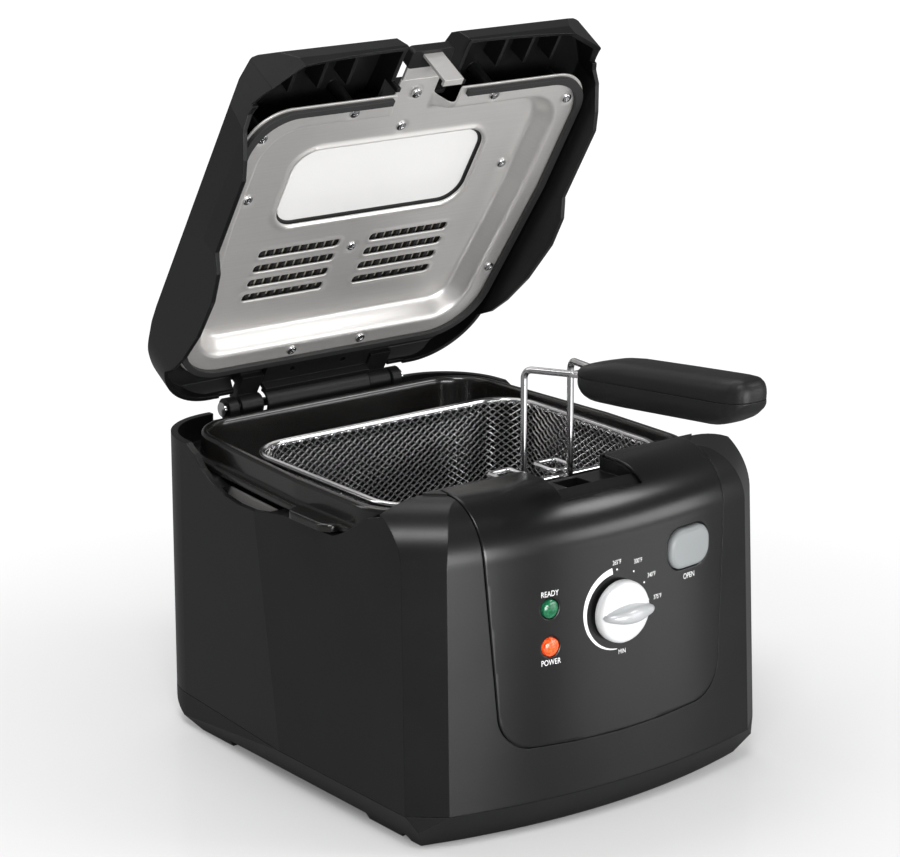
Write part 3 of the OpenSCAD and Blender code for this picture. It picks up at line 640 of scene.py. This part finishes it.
lamp = {"radius": 4.75, "dome": 1.5, "bevel": 0.12, "bevelTall": 0.35}
for node, z in (("ready_lens", panel["lamps"][1]), ("power_lens", panel["lamps"][2])):
    low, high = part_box(node)
    y0 = high.y / mm
    tall = (high.y - low.y) / mm
    r, foot = lamp["radius"], tall - lamp["dome"]
    edge = foot - 0.05
    rim = [(r, 0), (r, edge - lamp["bevelTall"]), (r - lamp["bevel"], edge)]
    dome = [(r * math.cos(t), foot + lamp["dome"] * math.sin(t)) for t in np.linspace(0.25, 1.5, 9)]
    piece = addPiece(node + "_dome", lathe(rim + dome, facing(panel["lamps"][0], z, y0), 40), node)
    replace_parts(piece, node)

dial = {
    "radius": 16.0,
    "bore": 3.1,
    "back": 0.2,
    "wingFrom": -15.3, "wingLong": 32.2,
    "wingWide": (3.3, 1.5),       # at its ends, and how much more in its middle
    "wingRoot": 6.2,              # height on the dial that the wing stands at
}
low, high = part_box("temperature_knob")
dialBack, dialTall = high.y / mm, (high.y - low.y) / mm
r = dial["radius"]
rim = [(dial["bore"], dial["back"]), (r - 0.8, dial["back"]), (r - 0.2, 0.5), (r, 1.2)]
side = [(r, 3.4), (r - 0.25, 4.6), (r - 1.0, 5.8), (r - 2.4, 6.6), (r - 4.5, 7.0), (6, 7.15), (0.6, 7.2)]
mesh = lathe(rim + side, facing(*panel["dial"], dialBack), 96)
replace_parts(addPiece("dial_skirt", mesh, "temperature_knob"), "temperature_knob")
rings = []
for t in np.linspace(0, 1, 33):
    x = dial["wingFrom"] + dial["wingLong"] * t
    ends = math.sqrt(max(1 - abs(2 * t - 1) ** 3.2, 0.0004))
    wide = (dial["wingWide"][0] + dial["wingWide"][1] * math.sin(math.pi * t) ** 2) * ends
    swell = 0.72 + 0.28 * math.sin(math.pi * min(t * 1.25, 1))
    tall = (dialTall - dial["wingRoot"]) * swell * ends + 0.1
    ring = []
    for a in np.linspace(0, math.pi, 21):
        c = math.cos(a)
        ring.append((panel["dial"][0] + x, dialBack - dial["wingRoot"] - tall * abs(math.sin(a)) ** 0.7,
                     panel["dial"][1] + wide * math.copysign(abs(c) ** 0.85, c)))
    rings.append(ring)
# the wing takes the darker silver, which is painted shade
addPiece("dial_wing", loft(rings), "temperature_knob", paint=shadedWingSilver)

button = {"half": (14.75, 10.5), "corner": 9, "dome": 0.9, "domeHalf": (15, 11), "inset": 1.2, "stand": 0.9}


def buttonPlace(u, v, h):
    x, z = panel["button"]
    wide, tall = button["domeHalf"]
    dome = button["dome"] * (1 - ((u - x) / wide) ** 2) * (1 - ((v - z) / tall) ** 2)
    y = body["bowY"] - np.sqrt((body["bow"] - button["inset"]) ** 2 - u ** 2) - h
    return np.stack([u, y - np.where(h < -0.01, 0, dome) + button["stand"], v], axis=1)


def buttonInside(u, v):
    x, z = panel["button"]
    wide, tall = button["half"]
    return boxInside(u, v, x - wide, z - tall, x + wide, z + tall, button["corner"])


mesh = sheet(buttonInside, buttonPlace, (32, 119, 66, 145), 0.8, 2.2, 12.5, 6)
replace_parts(addPiece("release_button", mesh, "open_button"), "open_button")
print("controls made")


basket = {
    "half": 89.0, "front": -60.0, "rear": 78.0, "top": 161.5, "deep": 56.5,
    "corner": 22.0, "rimCorner": 24, "rimWire": 2.0,
    "inset": 2.6,                       # weave inside the rim wire
    "pitch": 5.2, "lean": 1.42,         # of the diamonds
    "wire": 0.42, "over": 0.36, "overFloor": 0.3,
    "taper": 2.0, "turnIn": (3.0, 5),   # the wall's foot turns in by the first over the second
    "floorInset": 7, "floorCorner": 16,
}


def rimPath(inset, z, corner):
    h, f, b = basket["half"] - inset, basket["front"] + inset, basket["rear"] - inset
    return rounded([(-h, f, z), (h, f, z), (h, b, z), (-h, b, z)], corner, 10, True)


path = rimPath(0, basket["top"], basket["rimCorner"])
piece = wireCurve("basket_top_wire", [path], basket["rimWire"], "basket_rim", closed=True)
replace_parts(piece, "basket_rim")

outline = rimPath(basket["inset"], 0, basket["corner"])
lengths = [0.0]
for k in range(len(outline)):
    lengths.append(lengths[-1] + (outline[(k + 1) % len(outline)] - outline[k]).length)
around = lengths[-1]
xs = np.array([p.x for p in outline] + [outline[0].x])
ys = np.array([p.y for p in outline] + [outline[0].y])


def wallPoint(s, down, out):
    # a point on the weave, s round the basket and down from its rim, moved out by out
    s = s % around
    x, y = np.interp(s, lengths, xs), np.interp(s, lengths, ys)
    e = 0.5
    dx = np.interp((s + e) % around, lengths, xs) - np.interp((s - e) % around, lengths, xs)
    dy = np.interp((s + e) % around, lengths, ys) - np.interp((s - e) % around, lengths, ys)
    size = math.hypot(dx, dy)
    turn, over = basket["turnIn"]
    inward = basket["taper"] * down / basket["deep"]
    inward += turn * max(0, (down - basket["deep"] + over) / over) ** 2
    nx, ny = dy / size, -dx / size
    move = out - inward
    return (x + nx * move, y + ny * move, basket["top"] - down)


count = round(around / basket["pitch"])
pitch = around / count
paths = []
for way in (1, -1):
    steps = int(basket["deep"] / (pitch / 2 / basket["lean"]))
    for k in range(count):
        path = []
        for j in range(steps + 1):
            down = basket["deep"] * j / steps
            s = k * pitch + way * down * basket["lean"]
            path.append(wallPoint(s, down, basket["over"] * (1 if (j + k) % 2 else -1) * way))
        paths.append(path)
floorZ = basket["top"] - basket["deep"]
hx = basket["half"] - basket["floorInset"]
hy = (basket["rear"] - basket["front"]) / 2 - basket["floorInset"]
midY = (basket["rear"] + basket["front"]) / 2
spacing = pitch / 1.25
slope = math.atan(1 / basket["lean"])
for way in (1, -1):
    dx, dy = math.cos(slope), way * math.sin(slope)
    nx, ny = -dy, dx
    reach = hx * abs(nx) + hy * abs(ny)
    for k in range(-int(reach / spacing), int(reach / spacing) + 1):
        line = []
        for j in range(-80, 81):
            x = nx * k * spacing + dx * j * spacing * 0.8
            y = ny * k * spacing + dy * j * spacing * 0.8
            if boxInside(x, y, -hx, -hy, hx, hy, basket["floorCorner"]) > 0:
                over = basket["overFloor"] * (1 if (j + k) % 2 else -1) * way
                line.append((x, midY + y, floorZ + over))
        if len(line) > 3:
            paths.append(line)
piece = addPiece("basket_weave", tubes(paths, basket["wire"]), "basket_mesh")
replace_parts(piece, "basket_mesh")
print("basket woven,", len(paths), "wires")

handle = {
    "wire": 1.75, "x": 15.0, "y": -63.85, "foot": 107.5, "bendZ": 223.3, "bend": 5.0,
    "near": (7.0, -94.2, 225.8), "end": -180,      # where the rods turn into the grip, and their end
    "rise": math.tan(math.radians(5.4)),
    "bridgeZ": 226.4, "bridgeY": -94,
}
paths = []
for s in (-1, 1):
    x, (nearX, nearY, nearZ) = s * handle["x"], handle["near"]
    end = (s * nearX, handle["end"], nearZ + (nearY - handle["end"]) * handle["rise"])
    paths.append(rounded([(x, handle["y"], handle["foot"]), (x, handle["y"], handle["bendZ"]),
                          (s * nearX, nearY, nearZ), end], handle["bend"], 8))
piece = wireCurve("handle_rods", paths, handle["wire"], "handle_wires")
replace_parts(piece, "handle_wires")


def bridgePlace(u, v, h):
    return np.stack([u, v, handle["bridgeZ"] + h + (handle["bridgeY"] - v) * handle["rise"]], axis=1)


def bridgeInside(u, v):
    return boxInside(u, v, -9.2, -99, 9.2, -88, 2.5)


mesh = sheet(bridgeInside, bridgePlace, (-10, -100, 10, -87), 0.9, 0.5, 1.6, back=True)
addPiece("handle_bridge", mesh, "handle_wires")

hook = {"from": 8, "to": 22, "front": -60.0, "rear": -43, "z": 164.95, "bend": 3.2, "wire": 1.4}
paths = []
for s in (-1, 1):
    x0, x1, y0, y1, z = s * hook["from"], s * hook["to"], hook["front"], hook["rear"], hook["z"]
    paths.append(rounded([(x0, y0, z), (x0, y1, z), (x1, y1, z), (x1, y0, z)], hook["bend"], 6, True))
piece = wireCurve("hook_loops", paths, hook["wire"], "basket_hooks", closed=True, sides=5)
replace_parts(piece, "basket_hooks")

grip = {
    # outlines as (distance to the front, height or half width)
    "top": [(-96, 226.6), (-96.8, 229.0), (-99, 231.2), (-102, 232.6), (-106, 233.9), (-119.5, 237.8),
            (-131, 239.8), (-167, 243.7), (-203, 247.4), (-210, 247.9), (-214, 247.3), (-216.4, 245.4),
            (-217.4, 242.5)],
    "low": [(-96, 225.4), (-96.8, 222.2), (-99, 218.6), (-102, 216.2), (-106.5, 214.9), (-112, 214.9),
            (-130, 216.2), (-183, 221.2), (-196, 222.4), (-203, 224.4), (-209, 227.4), (-214, 231.4),
            (-216.6, 235.6), (-217.4, 238.5)],
    "wide": [(-96, 4.5), (-97.5, 8.4), (-100, 10.6), (-104, 12.0), (-110, 12.8), (-204, 12.8), (-210, 11.8),
             (-214, 9.6), (-216.6, 6.4), (-217.4, 3.4)],
    "square": 0.62,         # 1 is a round section, less is squarer
    "seam": 226, "seamDeep": 0.28 / 12, "seamGap": 0.12,
    "breaks": ((-96, 14), (-104, 30), (-204, 18), (-217.4, 0)),   # stations are closer at the ends
}


def track(pairs, y):
    # value of an outline at y
    pairs = sorted(pairs)
    return float(np.interp(y, [p[0] for p in pairs], [p[1] for p in pairs]))


stations = set()
for (y0, count), (y1, _) in zip(grip["breaks"], grip["breaks"][1:]):
    stations.update(np.linspace(y0, y1, count))
stations = sorted(stations, reverse=True)
for name, node, side in (("grip_top_shell", "grip_upper", 1), ("grip_low_shell", "grip_lower", -1)):
    rings = []
    for y in stations:
        seam = grip["seam"] + (stations[0] - y) * handle["rise"]
        reach = abs(track(grip["top" if side > 0 else "low"], y) - seam)
        tall = max(reach - grip["seamGap"], 0.05)
        wide = track(grip["wide"], y)
        ring = []
        for a in np.linspace(0, math.pi, 33):
            c, s = math.cos(a), abs(math.sin(a))
            edge = 1 - grip["seamDeep"] * math.exp(-(s * reach / 0.5) ** 2)
            ring.append((wide * edge * math.copysign(abs(c) ** grip["square"], c), y,
                         seam + side * (grip["seamGap"] + tall * s ** grip["square"])))
        rings.append(ring)
    piece = addPiece(name, loft(rings), node)
    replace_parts(piece, node)
print("handle made")

# oil pot: one wall from the outside bottom, over the rim and down to the cooking floor
pot = {
    "rear": 139.5, "front": -75.0, "frontDraw": 0.55, "rimInset": 6.5, "frontCorner": 30,
    "deck": 148.8, "top": 165.0, "floor": 52.0,
    "middle": 25, "around": 260,
    "tab": (95.0, 115.5, -34.0, 4.0), "tabCorner": 8, "tabTop": 152.8,
}


def potInside(u, v, i):
    front = pot["front"] + (i - pot["rimInset"]) * pot["frontDraw"]
    half = body["half"] - i
    front = boxInside(u, v, -half, front, half, 230, pot["frontCorner"])
    return np.minimum(planInside(u, v, i, pot["rear"]), front)


def potRing(i, z):
    # outline moved in by i, found along rays from the middle
    turn = np.linspace(0, 2 * math.pi, pot["around"], endpoint=False)
    near, far = np.zeros_like(turn), np.full_like(turn, 190.0)
    for _ in range(24):
        half = (near + far) / 2
        held = potInside(half * np.cos(turn), pot["middle"] + half * np.sin(turn), i) > 0
        near, far = np.where(held, half, near), np.where(held, far, half)
    return [(r * math.cos(t), pot["middle"] + r * math.sin(t), z) for r, t in zip(near, turn)]


deck, top, low = pot["deck"], pot["top"], pot["floor"]
# the wall's section as (inset, height)
wallRun = [(24, low - 2), (17, low - 1.4), (14.8, low + 1), (14, low + 6), (14, deck)]
wallRun += [(7.2, deck), (6.6, deck + 0.5), (6.5, deck + 1.6), (6.6, deck + 3), (7.4, deck + 3.8)]
wallRun += [(10.2, deck + 4)]
wallRun += [(11, deck + 5), (11, top - 3)]
wallRun += [(13.4 - 2.4 * math.cos(t), top - 2.6 + 2.6 * math.sin(t))
            for t in np.linspace(0.2, math.pi - 0.2, 12)]
wallRun += [(16, top - 4), (16, low + 7), (16.6, low + 3), (18.4, low + 0.8), (22, low)]
piece = addPiece("fry_pot", loft([potRing(i, z) for i, z in wallRun]), "oil_pot")
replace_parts(piece, "oil_pot")


def tabInside(u, v):
    x0, x1, y0, y1 = pot["tab"]
    return boxInside(np.abs(u), v, x0, y0, x1, y1, pot["tabCorner"])


def tabPlace(u, v, h):
    return np.stack([u, v, pot["tabTop"] + h], axis=1)


addPiece("pot_tabs", sheet(tabInside, tabPlace, (-116, -36, 116, 6), 0.9, 1.4, 3.9), "oil_pot")
print("pot spun")

# lid liner, pressed from one sheet
liner = {
    "inset": 5.6, "rear": 124.6,                    # outline, moved in from the body's
    "half": 109.4, "front": -71, "corner": 24,
    "recess": 10.4, "wall": 9.0, "flange": 13.0,    # depth of the bed, its sloped wall, the flat round it
    "channel": (-21, -110, 21, -36, 4),             # way out for the latch tongue
    "notch": (12.6, 20.5, -95, -59.3, 2.5),         # pressed slots beside the tongue
    "step": 1.1, "thick": 0.9,
    "window": (-61.6, -29.6, 61.6, 22.6, 13.6),
    "windowLip": (1.3, 1.6, 1.5),                   # height, distance out and width of the turned edge
    "slotX": 36, "slotLong": 26, "slotHalf": 2.7, "slotRows": (42, 52.5, 63, 73.5), "slotCorner": 2.0,
    "slotLip": (0.5, 0.9, 0.9),
    "seat": (0.5, 4.6, 1.4),                        # raised seat of a screw: height, radius, slope
}
slots = [(s * liner["slotX"] - liner["slotLong"], y - liner["slotHalf"],
          s * liner["slotX"] + liner["slotLong"], y + liner["slotHalf"], liner["slotCorner"])
         for s in (-1, 1) for y in liner["slotRows"]]
# screws as (across, back, height above the flange)
screwSpots = [(-23, 110.5, 0), (23, 110.5, 0), (-96.5, 70, 0), (96.5, 70, 0), (-83, 0, 10.5), (83, 0, 10.5),
              (-98, -53, 0), (98, -53, 0), (-45, -62.5, 0), (45, -62.5, 0), (0, -38.6, 10.5), (0, 46.8, 10.5),
              (0, -62, 8.9)]


def linerOutline(u, v, i):
    half = liner["half"] - i
    front = boxInside(u, v, -half, liner["front"] + i, half, 400, liner["corner"])
    return np.minimum(planInside(u, v, liner["inset"] + i, liner["rear"]), front)


def linerInside(u, v):
    d = linerOutline(u, v, 0)
    x0, x1, y0, y1, corner = liner["notch"]
    for hole in [(-x1, y0, -x0, y1, corner), (x0, y0, x1, y1, corner), liner["window"]] + slots:
        d = np.minimum(d, -boxInside(u, v, *hole))
    return d


def turnedEdge(u, v, hole, lip):
    tall, out, wide = lip
    return tall * np.exp(-((boxInside(u, v, *hole) + out) / wide) ** 2)


def linerDepth(u, v):
    bed = linerOutline(u, v, liner["flange"])
    channel = boxInside(u, v, *liner["channel"])
    depth = liner["recess"] * smoothStep(np.maximum(bed, channel) / liner["wall"])
    depth = depth - turnedEdge(u, v, liner["window"], liner["windowLip"])
    for hole in slots:
        depth = depth - turnedEdge(u, v, hole, liner["slotLip"])
    tall, radius, slope = liner["seat"]
    for x, y, _ in screwSpots:
        depth = depth + tall * smoothStep((radius - np.hypot(u - x, v - y)) / slope)
    return depth


def linerPlace(u, v, h):
    return np.stack([u, v, body["linerZ"] + linerDepth(u, v) - h], axis=1)


mesh = sheet(linerInside, linerPlace, (-112, -74, 112, 128), liner["step"], 0.25, liner["thick"], 2,
             back=True)
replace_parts(addPiece("lid_inner_sheet", mesh, "lid_liner", onLid=True), "lid_liner")
print("liner pressed")

# cross is the depth, half width and reach of the recess
screw = {"radius": 2.9, "sink": 0.25, "dome": 0.9, "cross": (0.75, 0.42, 1.75)}


def screwHead(u, v):
    return screw["radius"] - np.hypot(u, v)


heads = bmesh.new()
for k, (sx, sy, up) in enumerate(screwSpots):
    turn = 0.7 * k

    def headPlace(u, v, h, sx=sx, sy=sy, up=up, turn=turn):
        c, s = math.cos(turn), math.sin(turn)
        a, b = u * c + v * s, v * c - u * s
        arm = np.minimum(np.abs(a), np.abs(b))
        dome = screw["dome"] * np.clip(1 - (u * u + v * v) / 8.4, 0, 1) ** 0.6
        deep, wide, reach = screw["cross"]
        cut = deep * smoothStep((wide - arm) / 0.16) * smoothStep((reach - np.hypot(u, v)) / 0.3)
        return np.stack([sx + u, sy + v, body["linerZ"] + up - screw["sink"] - dome + cut - h], axis=1)

    part = sheet(screwHead, headPlace, (-3.1, -3.1, 3.1, 3.1), 0.2, 0.1, 1.0, 2)
    data = bpy.data.meshes.new("head")
    part.to_mesh(data)
    part.free()
    heads.from_mesh(data)
    bpy.data.meshes.remove(data)
piece = addPiece("lid_screw_heads", heads, "lid_screws", onLid=True)
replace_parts(piece, "lid_screws")
print("screws set")

floorLook = {"near": 0.05, "far": 0.5, "rough": 0.08, "glow": 1.02}


def floorPaint():
    # lit like paper near the object and self-lit further out, so it fades into the backdrop; in glossy rays
    # it is painted dark, which puts painted shade into the object's reflections of it
    p = Paint("paleFloor")
    patch = p.noise(3, 3)
    far = p.add("ShaderNodeVectorMath", {"operation": "LENGTH"}, {0: p.place}, out="Value")
    fade = p.clamp(far, floorLook["near"], floorLook["far"])
    mirrored = p.add("ShaderNodeLightPath", out="Is Glossy Ray")
    lit = p.mix(patch, (0.9, 0.9, 0.9), (0.93, 0.93, 0.93))
    # painted shade: the floor shows dark grey only in glossy rays, so the object's reflections of it are
    # darkened
    darkForReflections = p.mix(mirrored * 0.7, lit, (0.1, 0.1, 0.1))
    p.set(Base_Color=p.mix(fade, darkForReflections, (0, 0, 0)), Roughness=floorLook["rough"] + patch * 0.04,
          Emission_Color=p.mix(fade * (1 - mirrored * 0.75), (0, 0, 0), (1, 1, 1)),
          Emission_Strength=floorLook["glow"])
    return p.material


floorMesh = bmesh.new()
bmesh.ops.create_grid(floorMesh, x_segments=4, y_segments=4, size=6)
floorData = bpy.data.meshes.new("floor")
floorMesh.to_mesh(floorData)
floorMesh.free()
floor = bpy.data.objects.new("floor", floorData)
floorData.materials.append(floorPaint())
bpy.context.scene.collection.objects.link(floor)

view = {"place": (-0.9646, -1.2515, 0.6251), "aim": (-0.0129, 0.0, 0.1778), "lens": 126.2, "sensor": 36}
lights = {      # place, size and power of each soft box
    "keyLight": ((-0.9, -1.0, 1.9), (0.7, 0.6), 24),
    "frontLight": ((1.2, -1.1, 1.5), (0.6, 0.5), 9),
    "linerLight": ((-0.2, -1.6, 0.2), (0.9, 0.4), 18),
    "panelLight": ((1.1, -1.3, 0.3), (0.9, 0.4), 6),
    "rimLight": ((-1.6, 1.4, 1.4), (0.5, 1.2), 6),
    "topLight": ((0.0, 0.95, 2.1), (1.8, 1.0), 18),
}
room = {"light": 0.16, "backdrop": 1.05}     # white backdrop, dimmer room light


def aimed(name, data, place):
    holder = bpy.data.objects.new(name, data)
    holder.location = place
    holder.rotation_euler = (Vector(place) - Vector(view["aim"])).to_track_quat("Z", "Y").to_euler()
    bpy.context.scene.collection.objects.link(holder)
    return holder


for name, (place, size, power) in lights.items():
    light = bpy.data.lights.new(name, "AREA")
    light.shape = "RECTANGLE"
    light.size, light.size_y = size
    light.energy = power
    aimed(name, light, place)

world = bpy.data.worlds.new("studio")
bpy.context.scene.world = world
world.use_nodes = True
sky = Nodes(world.node_tree)
seen = sky.add("ShaderNodeLightPath", out="Is Camera Ray")
level = sky.add("ShaderNodeMapRange", None,
                {"Value": seen, "To Min": room["light"], "To Max": room["backdrop"]})
background = world.node_tree.nodes["Background"]
sky.feed(background.inputs["Color"], (1, 1, 1))
sky.feed(background.inputs["Strength"], level)
bpy.context.scene.view_settings.view_transform = "Standard"

cameraData = bpy.data.cameras.new("camera")
cameraData.lens = view["lens"]
cameraData.sensor_width = view["sensor"]
cameraData.clip_end = 50
bpy.context.scene.camera = aimed("camera", cameraData, view["place"])
print("stage set")
